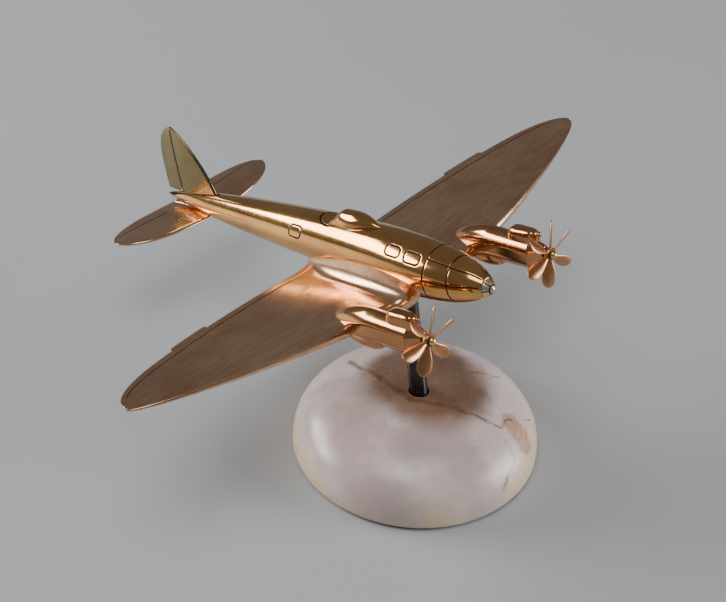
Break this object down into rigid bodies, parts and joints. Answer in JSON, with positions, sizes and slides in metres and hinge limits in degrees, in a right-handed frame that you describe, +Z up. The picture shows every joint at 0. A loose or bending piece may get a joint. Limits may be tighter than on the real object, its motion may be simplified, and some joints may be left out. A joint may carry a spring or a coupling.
{
  "type": "propeller plane model",
  "caption": "Polished brass model of a twin-engine propeller plane, with freely turning propellers, nose up on a leaning rod over a domed stone base.",
  "frame": {"origin": "centre of the felt pad's underside, on the surface that the base stands on", "axes": "+Z up, nose of the aircraft towards -Y and pitched up 15.6 degrees, port wing towards +X and 1.7 degrees high"},
  "size_m": [0.2258, 0.1828, 0.0991],
  "materials": {
    "onyx": "polished",
    "felt": "matte felt",
    "steel": "plain",
    "black_post": "gloss black",
    "golden_brass": "polished with patina in the engraved lines",
    "bronze": "polished, fine brushed streaks",
    "copper_bronze": "polished with dark patina",
    "copper": "satin copper colour",
    "pin_brass": "polished",
    "worn_cap": "worn pale"
  },
  "bodies": {
    "aircraft_on_stand": {"base_nut": "steel", "base_stud": "steel", "base_washer": "steel", "belly_stud": "steel", "dorsal_canopy": "golden_brass", "felt_pad": "felt", "fin": "golden_brass", "fuselage": "golden_brass", "nose_cap": "worn_cap", "port_engine_cowling": "copper_bronze", "port_intake_fairing": "copper_bronze", "port_propeller_pin": "pin_brass", "port_radiator_bath": "copper_bronze", "port_shaft_spacer": "copper_bronze", "port_tailplane": "bronze", "port_trim_tab": "bronze", "port_wing": "bronze", "starboard_engine_cowling": "copper_bronze", "starboard_intake_fairing": "copper_bronze", "starboard_propeller_pin": "pin_brass", "starboard_radiator_bath": "copper_bronze", "starboard_shaft_spacer": "copper_bronze", "starboard_tailplane": "bronze", "starboard_trim_tab": "bronze", "starboard_wing": "bronze", "stone_base": "onyx", "support_post": "black_post", "ventral_gondola": "golden_brass"},
    "port_propeller": {"port_propeller": "copper"},
    "starboard_propeller": {"starboard_propeller": "copper"}
  },
  "joints": [
    {"name": "port_propeller_spin", "type": "hinge", "parent": "aircraft_on_stand", "child": "port_propeller", "pos_m": [0.03109, -0.02692, 0.08742], "axis": [0, -0.9633, 0.2686], "continuous": true},
    {"name": "starboard_propeller_spin", "type": "hinge", "parent": "aircraft_on_stand", "child": "starboard_propeller", "pos_m": [-0.03088, -0.02741, 0.08566], "axis": [0, -0.9633, 0.2686], "continuous": true}
  ]
}
